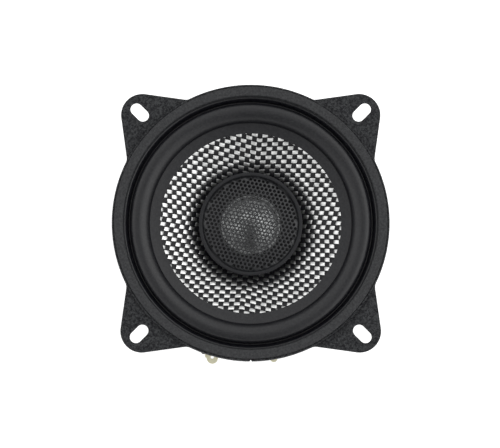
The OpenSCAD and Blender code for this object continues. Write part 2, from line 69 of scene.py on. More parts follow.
MM = 0.001
STEPS = 224                    # points round a turned piece
UP_TURN = math.radians(45)     # the picture's upward direction lies between the -X and +Y ears
TERMINAL_TURN = math.radians(-45)
RIGHT = Vector((math.cos(UP_TURN), math.sin(UP_TURN), 0))      # the picture's own directions
UP = Vector((-math.sin(UP_TURN), math.cos(UP_TURN), 0))


def lo(node):
    """Lowest corner of a CAD node, in millimetres."""
    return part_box(node)[0] / MM


def hi(node):
    """Highest corner of a CAD node, in millimetres. On a turned node, hi.x is its outer radius."""
    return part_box(node)[1] / MM


# ---------------------------------------------------------------- sizes, in millimetres

RIM_R = 51.2
SPIGOT_R = 46.4
SPIGOT_DEPTH = 6
SHEET = 0.8
LEDGE_R, LEDGE_Z = 26, -19     # inner edge of the ledge that carries the spider
CUP_Z, CUP_HOLE_R = -26, 14.5  # the bowl's floor, on the top plate
FLANGE_T = 1.2
LIP_T = 0.83
LIP_TOP = 2.6
WINDOW_R = (34.6, 43.6)
LEG_HALF_ANGLE = math.radians(9)
SLOT_CIRCLE_R = 58.0
SLOT_W, SLOT_L = 4.5, 7.8
EAR_TIP_R = 7.9
EAR_HALF_ANGLE = math.radians(37)
RIM_Z = -1.2                   # front of the cone's flat rim
SLOPE_R = 33.4
SLOPE = math.radians(28)
NECK_R = lo("coil_former").x * -1
ROLL_TOP = (41.35, 2.5)
ROLL_FEET_R = (37.4, 44.3)
GROOVE_Z = -0.75
RIM_TILT = 6                   # degrees that the cone's rim leans inwards
CORNER_CUT = (1.0, 1.6)        # slope between the flange and the spigot
RUBBER = 0.45


def rim_height(r):
    """Height of the cone's rim, under the rubber, at radius r."""
    return RIM_Z + (r - SLOPE_R) * math.tan(math.radians(RIM_TILT))


def slope_z(r):
    """Height of the cone's front face at radius r."""
    return RIM_Z - (SLOPE_R - r) * math.tan(SLOPE)


# ---------------------------------------------------------------- mesh helpers

def arc(x, y, r, start, end, steps):
    """Points on an arc, angles in degrees."""
    return [
        (x + r * math.cos(math.radians(start + (end - start) * i / steps)),
         y + r * math.sin(math.radians(start + (end - start) * i / steps)))
        for i in range(steps + 1)
    ]


def eased(points, radius, steps=4):
    """A closed outline with each corner rounded by at most radius."""
    p = [np.array(q, float) for q in points]
    out = []
    for i, corner in enumerate(p):
        back, on = p[i - 1] - corner, p[(i + 1) % len(p)] - corner
        cut = min(radius, 0.45 * np.linalg.norm(back), 0.45 * np.linalg.norm(on))
        a = corner + back / np.linalg.norm(back) * cut
        b = corner + on / np.linalg.norm(on) * cut
        for k in range(steps + 1):
            t = k / steps
            out.append(tuple((1 - t) ** 2 * a + 2 * t * (1 - t) * corner + t * t * b))
    return out


def sheet_outline(line, thickness):
    """The closed outline of a sheet of even thickness around a line."""
    p = np.array(line, float)
    t = np.gradient(p, axis=0)
    t /= np.linalg.norm(t, axis=1)[:, None]
    side = np.c_[-t[:, 1], t[:, 0]] * thickness / 2
    return [tuple(q) for q in np.r_[p + side, (p - side)[::-1]]]


def placed(name, mesh, body=None, sharp=35):
    """An object for this mesh, smooth but for edges sharper than this many degrees, riding on body."""
    mesh.shade_smooth()
    mesh.set_sharp_from_angle(angle=math.radians(sharp))
    obj = bpy.data.objects.new(name, mesh)
    bpy.context.scene.collection.objects.link(obj)
    if body:
        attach(obj, body)
    return obj


def evaluated_mesh(obj):
    """The mesh that obj has once its curve or its modifiers are worked out."""
    bpy.context.view_layer.update()
    return bpy.data.meshes.new_from_object(obj.evaluated_get(bpy.context.evaluated_depsgraph_get()))


def add_mesh(name, points, faces, body=None, sharp=35, merge=True):
    """A new object from points in millimetres."""
    mesh = bpy.data.meshes.new(name)
    mesh.from_pydata([tuple(q) for q in np.array(points, float) * MM], [], faces)
    if merge:
        work = bmesh.new()
        work.from_mesh(mesh)
        bmesh.ops.remove_doubles(work, verts=work.verts, dist=1e-7)
        bmesh.ops.recalc_face_normals(work, faces=work.faces)
        work.to_mesh(mesh)
        work.free()
    return placed(name, mesh, body, sharp)


def turned(name, outline, body=None, steps=STEPS):
    """A closed outline of (radius, height) points turned round Z."""
    p = np.array(outline, float)
    n = len(p)
    angle = np.arange(steps) * 2 * math.pi / steps
    points = np.stack([
        np.outer(np.cos(angle), p[:, 0]), np.outer(np.sin(angle), p[:, 0]),
        np.broadcast_to(p[:, 1], (steps, n))], axis=2).reshape(-1, 3)
    faces = [
        (i * n + k, ((i + 1) % steps) * n + k, ((i + 1) % steps) * n + (k + 1) % n, i * n + (k + 1) % n)
        for i in range(steps) for k in range(n)
    ]
    return add_mesh(name, points, faces, body)


def curve_mesh(name, data):
    """A mesh object of the same shape as a curve."""
    curve = bpy.data.objects.new(name, data)
    bpy.context.scene.collection.objects.link(curve)
    mesh = evaluated_mesh(curve)
    bpy.data.objects.remove(curve)
    work = bmesh.new()
    work.from_mesh(mesh)
    bmesh.ops.remove_doubles(work, verts=work.verts, dist=2e-7)
    work.to_mesh(mesh)
    work.free()
    return placed(name, mesh, sharp=40)


def plate(name, outlines, z, edge):
    """A flat plate from closed outlines, the first outside and the others holes, with rounded edges."""
    data = bpy.data.curves.new(name, "CURVE")
    data.dimensions = "2D"
    data.fill_mode = "BOTH"
    thickness = z[1] - z[0]
    data.extrude = (thickness / 2 - edge) * MM
    data.bevel_depth = edge * MM
    data.bevel_resolution = 2
    data.offset = -edge * MM
    for outline in outlines:
        spline = data.splines.new("POLY")
        spline.points.add(len(outline) - 1)
        spline.points.foreach_set("co", np.c_[np.array(outline, float) * MM,
                                              np.zeros(len(outline)), np.ones(len(outline))].ravel())
        spline.use_cyclic_u = True
    made = curve_mesh(name, data)
    made.data.transform(Matrix.Translation((0, 0, (z[0] + z[1]) / 2 * MM)))
    return made


def tube(name, route, radius):
    """A round wire through points, in millimetres."""
    data = bpy.data.curves.new(name, "CURVE")
    data.dimensions = "3D"
    data.bevel_depth = radius * MM
    data.bevel_resolution = 5
    data.use_fill_caps = True
    spline = data.splines.new("POLY")
    spline.points.add(len(route) - 1)
    spline.points.foreach_set("co", np.c_[np.array(route, float) * MM, np.ones(len(route))].ravel())
    return curve_mesh(name, data)


def joined(objects, name, body):
    """One object from several."""
    work = bmesh.new()
    for obj in objects:
        work.from_mesh(obj.data)
        bpy.data.objects.remove(obj)
    mesh = bpy.data.meshes.new(name)
    work.to_mesh(mesh)
    work.free()
    return placed(name, mesh, body)


def turned_about_z(points, angle):
    """Points turned round Z."""
    p = np.array(points, float)
    c, s = math.cos(angle), math.sin(angle)
    out = p.copy()
    out[:, 0], out[:, 1] = p[:, 0] * c - p[:, 1] * s, p[:, 0] * s + p[:, 1] * c
    return out


def cut(obj, cutter):
    """Takes cutter's shape out of obj."""
    modifier = obj.modifiers.new("cut", "BOOLEAN")
    modifier.operation = "DIFFERENCE"
    modifier.solver = "EXACT"
    modifier.object = cutter
    mesh = evaluated_mesh(obj)
    obj.modifiers.clear()
    obj.data = mesh
    mesh.set_sharp_from_angle(angle=math.radians(35))
    bpy.data.objects.remove(cutter)


def smoothed(route, passes=3):
    """Corner cutting, as the CAD's wires have it."""
    p = np.array(route, float)
    for _ in range(passes):
        near, far = 0.75 * p[:-1] + 0.25 * p[1:], 0.25 * p[:-1] + 0.75 * p[1:]
        p = np.vstack([p[:1], np.stack([near, far], axis=1).reshape(-1, 3), p[-1:]])
    return p


def radial_blend(obj):
    """Bakes obj's placement into its mesh and reads out its points."""
    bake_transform(obj)
    co = np.empty(len(obj.data.vertices) * 3)
    obj.data.vertices.foreach_get("co", co)


# ---------------------------------------------------------------- material helpers

class Paint:
    """A material's node tree, with short calls for the nodes used here."""

    def __init__(self, name):
        self.material = bpy.data.materials.new(name)
        self.material.use_nodes = True
        self.tree = self.material.node_tree
        self.shader = self.tree.nodes["Principled BSDF"]
        self.position = self.node("ShaderNodeTexCoord").outputs["Object"]

    def node(self, kind, **settings):
        n = self.tree.nodes.new(kind)
        for key, value in settings.items():
            setattr(n, key, value)
        return n

    def link(self, source, target):
        self.tree.links.new(source, target)

    def set(self, **values):
        for key, value in values.items():
            self.shader.inputs[key.replace("_", " ")].default_value = value
        return self

    def math(self, operation, a, b=0.0):
        n = self.node("ShaderNodeMath", operation=operation)
        for socket, value in zip(n.inputs, (a, b)):
            if isinstance(value, (int, float)):
                socket.default_value = value
            else:
                self.link(value, socket)
        return n.outputs[0]

    def noise(self, per_mm, detail=2, rough=0.5, at=None, stretch=None):
        """Noise with this many bumps per millimetre, or per unit of the coordinates in at."""
        n = self.node("ShaderNodeTexNoise")
        n.inputs["Scale"].default_value = per_mm / MM if at is None else per_mm
        n.inputs["Detail"].default_value = detail
        n.inputs["Roughness"].default_value = rough
        source = at or self.position
        if stretch:
            m = self.node("ShaderNodeMapping")
            m.inputs["Scale"].default_value = stretch
            self.link(source, m.inputs["Vector"])
            source = m.outputs[0]
        self.link(source, n.inputs["Vector"])
        return n.outputs["Fac"]

    def ramp(self, value, low, high, colour_a, colour_b, target=None):
        """colour_a where value is below low, colour_b where it is above high."""
        n = self.node("ShaderNodeValToRGB")
        n.color_ramp.elements[0].position, n.color_ramp.elements[1].position = low, high
        n.color_ramp.elements[0].color = (*colour_a, 1)
        n.color_ramp.elements[1].color = (*colour_b, 1)
        self.link(value, n.inputs[0])
        if target:
            self.link(n.outputs[0], self.shader.inputs[target])
        return n.outputs[0]

    def between(self, value, low, high, target=None):
        """value, from 0 to 1, spread over low to high."""
        n = self.node("ShaderNodeMapRange")
        n.inputs["To Min"].default_value, n.inputs["To Max"].default_value = low, high
        self.link(value, n.inputs["Value"])
        if target:
            self.link(n.outputs[0], self.shader.inputs[target])
        return n.outputs[0]

    def bump(self, height, depth_mm, strength=1.0):
        n = self.node("ShaderNodeBump")
        n.inputs["Strength"].default_value = strength
        n.inputs["Distance"].default_value = depth_mm * MM
        self.link(height, n.inputs["Height"])
        if self.shader.inputs["Normal"].links:
            self.link(self.shader.inputs["Normal"].links[0].from_socket, n.inputs["Normal"])
        self.link(n.outputs[0], self.shader.inputs["Normal"])
        return self


def grey(v):
    """A grey a little on the blue side, which shows in the blacks only."""
    return (v * 0.95, v, v + 0.0018)


def powder_coat():
    p = Paint("powder_coat").set(Roughness=0.42, Specular_IOR_Level=0.2)
    p.ramp(p.noise(1.3, 4, 0.8), 0.42, 0.60, grey(0.0), grey(0.042), "Base Color")
    p.between(p.noise(0.5, 3), 0.42, 0.58, "Roughness")
    p.bump(p.noise(1.8, 3, 0.6), 0.22, 1.0)
    return p.bump(p.noise(0.8, 2), 0.12, 0.6).material


def rubber():
    p = Paint("surround_rubber").set(Roughness=0.38, Specular_IOR_Level=0.46)
    p.ramp(p.noise(1.2, 4, 0.8), 0.40, 0.62, grey(0.0), grey(0.009), "Base Color")
    p.between(p.noise(0.25, 4), 0.31, 0.44, "Roughness")
    p.bump(p.noise(1.2, 3, 0.6), 0.035, 0.8)
    return p.bump(p.noise(5, 2), 0.008, 0.6).material


def foam():
    p = Paint("gasket_foam").set(Roughness=0.8)
    p.ramp(p.noise(1.3, 4, 0.8), 0.40, 0.62, grey(0.004), grey(0.029), "Base Color")
    p.between(p.noise(0.6, 3), 0.58, 0.76, "Roughness")
    return p.bump(p.noise(2.0, 3, 0.6), 0.1, 0.9).material


def moulded():
    p = Paint("moulded_black").set(Roughness=0.4, Specular_IOR_Level=0.4)
    p.ramp(p.noise(0.2, 3), 0.3, 0.7, grey(0.005), grey(0.008), "Base Color")
    p.between(p.noise(0.8, 3), 0.34, 0.5, "Roughness")
    return p.bump(p.noise(4, 2), 0.01, 0.6).material


def satin_black():
    p = Paint("bezel_satin").set(Roughness=0.38, Specular_IOR_Level=0.3)
    p.ramp(p.noise(0.3, 3), 0.3, 0.7, grey(0.006), grey(0.009), "Base Color")
    p.between(p.noise(0.7, 3), 0.34, 0.46, "Roughness")
    return p.bump(p.noise(5, 2), 0.01, 0.5).material


def grille_coat():
    p = Paint("grille_coat").set(Roughness=0.36, Specular_IOR_Level=0.55)
    p.ramp(p.noise(0.4, 3), 0.3, 0.7, grey(0.006), grey(0.010), "Base Color")
    p.between(p.noise(1.2, 3), 0.3, 0.42, "Roughness")
    return p.bump(p.noise(6, 2), 0.012, 0.6).material


def tow(name, dark, light, metallic, rough, fibre, coat, shine):
    """A flat bundle of fibres. The UV map runs along the bundle in u and across it in v, in millimetres."""
    p = Paint(name).set(Metallic=metallic, Roughness=rough, Coat_Weight=coat, Coat_Roughness=0.22,
                        Specular_IOR_Level=shine)
    uv = p.node("ShaderNodeUVMap", uv_map="tow").outputs[0]
    strands = p.noise(1.0, 3, 0.6, at=uv, stretch=(0.5, 26, 1))
    blocks = p.noise(0.45, 2, at=uv, stretch=(1, 1.4, 1))
    mixed = p.math("ADD", p.math("MULTIPLY", strands, 0.6), p.math("MULTIPLY", blocks, 0.4))
    p.ramp(mixed, 0.36, 0.62, dark, light, "Base Color")
    p.between(strands, rough - 0.08, rough + 0.1, "Roughness")
    return p.bump(strands, fibre, 0.8).material


def resin():
    p = Paint("cone_resin").set(Roughness=0.35)
    p.ramp(p.noise(0.5, 3), 0.3, 0.7, grey(0.004), grey(0.008), "Base Color")
    return p.bump(p.noise(1.5, 3), 0.05, 0.6).material


def spider_cloth():
    """Open-weave cloth stiffened with resin."""
    p = Paint("spider_cloth").set(Roughness=0.75, Sheen_Weight=0.2)
    threads = []
    for axis in ("X", "Y"):
        w = p.node("ShaderNodeTexWave", wave_type="BANDS", bands_direction=axis)
        w.inputs["Scale"].default_value = 340
        w.inputs["Distortion"].default_value = 0.6
        p.link(p.position, w.inputs["Vector"])
        threads.append(w.outputs["Fac"])
    weave = p.math("MULTIPLY", threads[0], threads[1])
    p.ramp(weave, 0.1, 0.6, (0.20, 0.125, 0.045), (0.56, 0.40, 0.18), "Base Color")
    return p.bump(weave, 0.08, 0.9).material


def plated(name, colour, rough, turned_marks=0.0, metallic=1.0):
    """Plated or bare metal; turned_marks is the depth in millimetres of the lathe's rings."""
    p = Paint(name).set(Metallic=metallic, Roughness=rough)
    p.ramp(p.noise(0.15, 4), 0.3, 0.7, tuple(c * 0.86 for c in colour), colour, "Base Color")
    p.between(p.noise(0.9, 4), rough - 0.07, rough + 0.12, "Roughness")
    if turned_marks:
        r = p.node("ShaderNodeVectorMath", operation="LENGTH")
        flat = p.node("ShaderNodeMapping")
        flat.inputs["Scale"].default_value = (1, 1, 0.4)
        p.link(p.position, flat.inputs["Vector"])
        p.link(flat.outputs[0], r.inputs[0])
        line = p.node("ShaderNodeCombineXYZ")
        p.link(r.outputs["Value"], line.inputs[0])
        p.bump(p.noise(7 / MM, 3, 0.6, at=line.outputs[0]), turned_marks, 0.7)
    return p.bump(p.noise(3, 2), 0.006, 0.5).material


def ferrite():
    p = Paint("ferrite").set(Roughness=0.55, Metallic=0.25)
    p.ramp(p.noise(0.5, 5, 0.65), 0.3, 0.75, grey(0.028), grey(0.075), "Base Color")
    p.between(p.noise(0.8, 4), 0.42, 0.66, "Roughness")
    return p.bump(p.noise(1.8, 4, 0.65), 0.03, 0.7).material


def copper_winding():
    """Fine enamelled wire, wound in turns 0.2 mm apart along Z."""
    p = Paint("copper_winding").set(Metallic=1.0, Roughness=0.3, Coat_Weight=0.5, Coat_Roughness=0.15)
    w = p.node("ShaderNodeTexWave", wave_type="BANDS", bands_direction="Z")
    w.inputs["Scale"].default_value = 1600
    p.link(p.position, w.inputs["Vector"])
    p.ramp(w.outputs["Fac"], 0.0, 0.6, (0.16, 0.045, 0.016), (0.62, 0.24, 0.10), "Base Color")
    return p.bump(w.outputs["Fac"], 0.05, 0.9).material


def braided(name, dark, light):
    """A braid of fine strands, around a lead 1 mm thick."""
    p = Paint(name).set(Metallic=1.0, Roughness=0.4)
    v = p.node("ShaderNodeTexVoronoi")
    v.inputs["Scale"].default_value = 3600
    p.link(p.position, v.inputs["Vector"])
    p.ramp(v.outputs["Distance"], 0.0, 0.6, light, dark, "Base Color")
    return p.bump(v.outputs["Distance"], -0.06, 0.9).material


def fibre_board():
    p = Paint("board_fibre").set(Roughness=0.5)
    p.ramp(p.noise(0.9, 4, 0.6, stretch=(1, 1, 4)), 0.3, 0.7, (0.020, 0.010, 0.006), (0.045, 0.024, 0.014),
           "Base Color")
    return p.bump(p.noise(2.2, 3), 0.02, 0.6).material


def soft_plastic(name, dark, light, rough, grain=0.01):
    p = Paint(name).set(Roughness=rough)
    p.ramp(p.noise(0.3, 3), 0.3, 0.7, dark, light, "Base Color")
    p.between(p.noise(0.8, 3), rough - 0.08, rough + 0.08, "Roughness")
    return p.bump(p.noise(2.5, 2), grain, 0.6).material


def glue():
    p = Paint("hot_glue").set(Roughness=0.3, Transmission_Weight=0.25, Subsurface_Weight=0.3, IOR=1.48)
    p.shader.inputs["Subsurface Radius"].default_value = (0.002, 0.0018, 0.0012)
    p.ramp(p.noise(0.6, 2), 0.3, 0.7, (0.62, 0.56, 0.40), (0.78, 0.73, 0.58), "Base Color")
    return p.bump(p.noise(0.5, 2), 0.12, 0.8).material


def dome_metal(name, rough):
    """Satin metal film, drawn over a dome."""
    p = Paint(name).set(Metallic=1.0, Roughness=rough)
    p.ramp(p.noise(0.35, 3), 0.3, 0.7, (0.28, 0.29, 0.29), (0.42, 0.43, 0.43), "Base Color")
    p.between(p.noise(0.6, 3), rough - 0.04, rough + 0.06, "Roughness")
    return p.bump(p.noise(0.4, 2), 0.004, 0.5).material


def felt():
    p = Paint("felt").set(Roughness=0.95, Sheen_Weight=0.4)
    p.ramp(p.noise(2.2, 5, 0.7), 0.3, 0.7, grey(0.12), grey(0.30), "Base Color")
    return p.bump(p.noise(2.5, 5, 0.7), 0.12, 0.9).material


M = {
    "powder": powder_coat(), "rubber": rubber(), "foam": foam(), "moulded": moulded(),
    "bezel": satin_black(), "grille": grille_coat(), "resin": resin(),
    "silver_tow": tow("silver_tow", (0.34, 0.35, 0.35), (1.0, 1.0, 0.99), 1.0, 0.35, 0.014, 0.3, 0.5),
    "black_tow": tow("black_tow", (0.002, 0.002, 0.003), (0.008, 0.008, 0.010), 0.0, 0.42, 0.015, 0.0, 0.3),
    "spider": spider_cloth(), "ferrite": ferrite(), "winding": copper_winding(),
    "steel": plated("plated_steel", (0.42, 0.43, 0.45), 0.34, 0.012),
    "rivet": plated("rivet_steel", (0.62, 0.63, 0.64), 0.3),
    "gold": plated("gold_plate", (1.0, 0.96, 0.70), 0.5, metallic=0.0),
    "tinned": plated("tinned_wire", (0.72, 0.72, 0.71), 0.3),
    "nickel": plated("nickel", (0.66, 0.65, 0.62), 0.22),
    "tinsel": braided("tinsel", (0.12, 0.04, 0.015), (0.72, 0.36, 0.20)),
    "board": fibre_board(), "glue": glue(), "felt": felt(),
    "dome": dome_metal("dome_metal", 0.2), "film": dome_metal("dome_film", 0.3),
    "kapton": soft_plastic("coil_former_film", (0.20, 0.085, 0.02), (0.32, 0.15, 0.045), 0.3),
    "adhesive": soft_plastic("black_adhesive", grey(0.006), grey(0.010), 0.2, 0.03),
    "sleeve": soft_plastic("capacitor_sleeve", (0.010, 0.012, 0.022), (0.014, 0.017, 0.030), 0.28),
    "shrink": soft_plastic("heat_shrink", grey(0.010), grey(0.015), 0.45, 0.02),
    "wire_black": soft_plastic("wire_insulation", grey(0.010), grey(0.014), 0.38),
}


def dress(obj, material):
    """Gives obj this material in every slot."""
    obj.data.materials.clear()
    obj.data.materials.append(M[material])
    return obj


# ---------------------------------------------------------------- chassis

def ear(turn):
    """Outline points of one ear, from where it leaves the rim to where it meets it again."""
    tip_x = SLOT_CIRCLE_R - 1.4
    s, c = math.sin(EAR_HALF_ANGLE), math.cos(EAR_HALF_ANGLE)
    tangent = np.array([tip_x + EAR_TIP_R * s, EAR_TIP_R * c])
    along = np.array([-c, s])
    # where the side meets the rim
    b, q = tangent @ along, tangent @ tangent - RIM_R ** 2
    meet = tangent + along * (-b - math.sqrt(b * b - q))
    fillet = 1.2
    on_rim = math.atan2(meet[1], meet[0]) + fillet / RIM_R
    inner = [(RIM_R * math.cos(on_rim), RIM_R * math.sin(on_rim))]
    for t in (0.33, 0.67, 1.0):
        inner.append(tuple((1 - t) ** 2 * np.array(inner[0]) + 2 * t * (1 - t) * meet
                           + t * t * (meet - along * fillet)))
    half = inner + arc(tip_x, 0, EAR_TIP_R, 90 - math.degrees(EAR_HALF_ANGLE), 0, 14)
    outline = [(x, -y) for x, y in half] + half[-2::-1]
    return turned_about_z(outline, turn), on_rim


def flange_outlines():
    """The flange's outside with its four ears, its large hole and the four slots."""
    outer = []
    for k in range(4):
        points, on_rim = ear(k * math.pi / 2)
        outer += [tuple(q) for q in points]
        steps = 22
        start, end = k * 90 + math.degrees(on_rim), (k + 1) * 90 - math.degrees(on_rim)
        outer += arc(0, 0, RIM_R, start, end, steps)[1:-1]
    inner = arc(0, 0, SPIGOT_R - SHEET + 0.8, 0, 360 - 360 / 192, 191)
    slots = []
    for k in range(4):
        half = (SLOT_L - SLOT_W) / 2
        one = (arc(SLOT_CIRCLE_R + half, 0, SLOT_W / 2, -90, 90, 16)
               + arc(SLOT_CIRCLE_R - half, 0, SLOT_W / 2, 90, 270, 16))
        slots.append([tuple(q) for q in turned_about_z(one, k * math.pi / 2)])
    return [outer, inner, *slots]


def window_cutter():
    """Four upright prisms, one for each window between the legs."""
    half = math.pi / 4 - LEG_HALF_ANGLE
    c = 2.5
    corners = []
    for r, s, start in ((WINDOW_R[1] - c, 1, 0), (WINDOW_R[0] + c, 1, 90),
                        (WINDOW_R[0] + c, -1, 180), (WINDOW_R[1] - c, -1, 270)):
        a = s * (half - math.asin(c / r))
        x, y = r * math.cos(a), r * math.sin(a)
        corners.append(arc(x, y, c, start + math.degrees(a), start + 90 + math.degrees(a), 6))
    outer = arc(0, 0, WINDOW_R[1], -math.degrees(half) + 4.5, math.degrees(half) - 4.5, 30)
    inner = arc(0, 0, WINDOW_R[0], math.degrees(half) - 5.5, -math.degrees(half) + 5.5, 30)
    outline = outer + corners[0] + corners[1] + inner + corners[2] + corners[3]
    n = len(outline)
    points, faces = [], []
    for k in range(4):
        ring = turned_about_z(outline, k * math.pi / 2)
        base = len(points)
        points += [(x, y, -18.2) for x, y in ring] + [(x, y, -1.5) for x, y in ring]
        faces += [(base + i, base + (i + 1) % n, base + n + (i + 1) % n, base + n + i) for i in range(n)]
        faces += [tuple(range(base + n - 1, base - 1, -1)), tuple(range(base + n, base + 2 * n))]
    return add_mesh("window_cutter", points, faces)


def basket():
    """The pressed chassis: flange with ears, lip, bowl with windows, and the tongue under the board."""
    flange = plate("flange", flange_outlines(), (0, FLANGE_T), 0.14)
    lip = turned("lip", eased([(RIM_R - LIP_T, FLANGE_T - 0.05), (RIM_R - 0.03, FLANGE_T - 0.05),
                               (RIM_R - 0.03, LIP_TOP), (RIM_R - LIP_T, LIP_TOP)], 0.32, 5))
    # the small notch in the rim at the terminals' side
    wedge = turned_about_z([(RIM_R - 0.62, 0), (RIM_R + 0.5, -0.9), (RIM_R + 0.5, 0.9)], TERMINAL_TURN)
    for piece in (flange, lip):
        cut(piece, add_mesh("notch_cutter", [(x, y, z) for z in (-1, 4) for x, y in wedge],
                            [(2, 1, 0), (3, 4, 5), (0, 1, 4, 3), (1, 2, 5, 4), (2, 0, 3, 5)]))
    # the bowl's side falls at 45 degrees from the spigot to the ledge
    foot = SPIGOT_R - (-LEDGE_Z + SHEET - SPIGOT_DEPTH)
    rise = SHEET * math.sqrt(2)
    inside = SPIGOT_R - SHEET
    bowl = turned("bowl", eased([
        (SPIGOT_R, 0.6), (SPIGOT_R, -SPIGOT_DEPTH), (foot, LEDGE_Z - SHEET),
        (LEDGE_R + SHEET, LEDGE_Z - SHEET), (LEDGE_R + SHEET, CUP_Z), (CUP_HOLE_R, CUP_Z),
        (CUP_HOLE_R, CUP_Z + SHEET), (LEDGE_R, CUP_Z + SHEET), (LEDGE_R, LEDGE_Z),
        (foot - SHEET + rise, LEDGE_Z), (inside, -SPIGOT_DEPTH + rise - SHEET), (inside, -0.4),
        (inside + 0.62, 0.6)], 0.7, 4))
    cut(bowl, window_cutter())
    tongue = [(38.4, -7.8), (47.6, -7.8), (47.6, 2.2), (38.4, 2.2)]
    tongue = [tuple(q) for q in turned_about_z(eased(tongue, 1.2), TERMINAL_TURN)]
    tongue = plate("tongue", [tongue], (-12.4, -11.6), 0.1)
    # the stamped mark in the rim, opposite the notch
    mark = turned("mark", [(0, 0.15), (0.8, 0.15), (0.8, 1.05), (0, 1.05)], steps=24)
    mark.data.transform(Matrix.Translation(
        (math.cos(TERMINAL_TURN) * -50.5 * MM, math.sin(TERMINAL_TURN) * -50.5 * MM, 0)))
    made = joined([flange, lip, bowl, tongue, mark], "basket_shell", "frame")
    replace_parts(made, "basket")
    return dress(made, "powder")


# ---------------------------------------------------------------- front ring and suspension

def gasket():
    """A flat ring whose inner side slopes a little."""
    (outer, _, top), bottom = hi("gasket_ring"), lo("gasket_ring").z
    outline = [(46.4, bottom), (outer, bottom), (outer, top), (47.1, top)]
    made = turned("gasket", eased(outline, 0.3, 6), "frame")
    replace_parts(made, "gasket_ring")
    return dress(made, "foam")


def surround():
    """Rubber: the flange under the gasket, a groove, the roll, and the flat ring glued to the cone's rim."""
    wall_x, bend = SPIGOT_R - SHEET - 0.3, 0.3
    groove_bend = (wall_x - ROLL_FEET_R[1]) / 2
    mid_z = FLANGE_T + RUBBER / 2
    foot_x = ROLL_FEET_R[0] - bend
    rim_z = rim_height(foot_x) + RUBBER / 2
    roll = []
    # steep and square outside, easier inside
    for degrees in np.arange(2.5, 179, 2.5):
        a = math.radians(degrees)
        power = 2 / (2.8 if degrees < 90 else 1.8)
        foot_r = ROLL_FEET_R[1 if degrees < 90 else 0]
        foot_z = GROOVE_Z + groove_bend if degrees < 90 else rim_z + bend
        roll.append((ROLL_TOP[0] + (foot_r - ROLL_TOP[0]) * abs(math.cos(a)) ** power,
                     foot_z + (ROLL_TOP[1] - RUBBER / 2 - foot_z) * math.sin(a) ** power))
    shoulder = wall_x + CORNER_CUT[0]
    line = ([(RIM_R - 1, mid_z), (shoulder + 0.3, mid_z), (shoulder + 0.1, mid_z - 0.05),
             (shoulder - 0.05, mid_z - 0.2)]
            + arc(wall_x - groove_bend, GROOVE_Z + groove_bend, groove_bend, 0, -180, 18) + roll
            + arc(foot_x, rim_z + bend, bend, 0, RIM_TILT - 90, 8)
            + [(SLOPE_R + 0.3, rim_height(SLOPE_R + 0.3) + RUBBER / 2), (SLOPE_R, RIM_Z + RUBBER / 2)])
    made = turned("surround_roll", sheet_outline(line, RUBBER))
    dress(made, "rubber")
    radial_blend(made)
    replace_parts(made, "surround")


def spider():
    """The corrugated cloth behind the cone."""
    cloth = 0.4
    mid_z = LEDGE_Z + cloth / 2
    collar_x = NECK_R + cloth / 2
    wave_x = (collar_x + 0.8, 25.7)
    waves = [(wave_x[0] + (wave_x[1] - wave_x[0]) * i / 64, mid_z + 0.9 * math.sin(2 * math.pi * 4 * i / 64))
             for i in range(1, 64)]
    line = ([(collar_x, mid_z + 1.6), (collar_x, mid_z + 1.0)]
            + arc(collar_x + 0.5, mid_z + 0.5, 0.5, 180, 270, 6) + waves + [(26.4, mid_z), (30, mid_z)])
    made = turned("spider_cloth", sheet_outline(line, cloth))
    dress(made, "spider")
    radial_blend(made)
    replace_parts(made, "spider")


# ---------------------------------------------------------------- woven cone

WARP_PITCH, WEFT_PITCH = 1.99, 1.77      # between the black tows, and between the silver ones
WARP_W, WEFT_W = 1.86, 1.38
TOW_RISE = 0.10                          # over and under the other tows
TOW_CROWN = 0.07                         # how much lower a tow's edges are than its middle
TOW_LIFT = 0.12                          # clear of the cone's body
TOW_ENDS = (14.6, 38.25)                 # from the cone's tip, along its slope
CLOTH_TURN = math.radians(-6)            # the cloth lies a little clockwise of the picture's axes


def draped(a, b, height):
    """Where a point of the cloth lies on the cone. The net of tows shears evenly in each quarter."""
    quarter = math.pi / 2 * math.cos(SLOPE)
    ax, bx = np.abs(a), np.abs(b)
    x, y = ax + bx * math.cos(quarter), bx * math.sin(quarter)
    s, psi = np.hypot(x, y), np.arctan2(y, x)
    phi = psi / math.cos(SLOPE)
    r = s * math.cos(SLOPE) - height * math.sin(SLOPE)
    z = RIM_Z - (SLOPE_R / math.cos(SLOPE) - s) * math.sin(SLOPE) + height * math.cos(SLOPE)
    px, py = r * np.cos(phi) * np.sign(a + 1e-12), r * np.sin(phi) * np.sign(b + 1e-12)
    turn = UP_TURN + CLOTH_TURN
    c, t = math.cos(turn), math.sin(turn)
    return np.stack([px * c - py * t, px * t + py * c, z], axis=-1), s


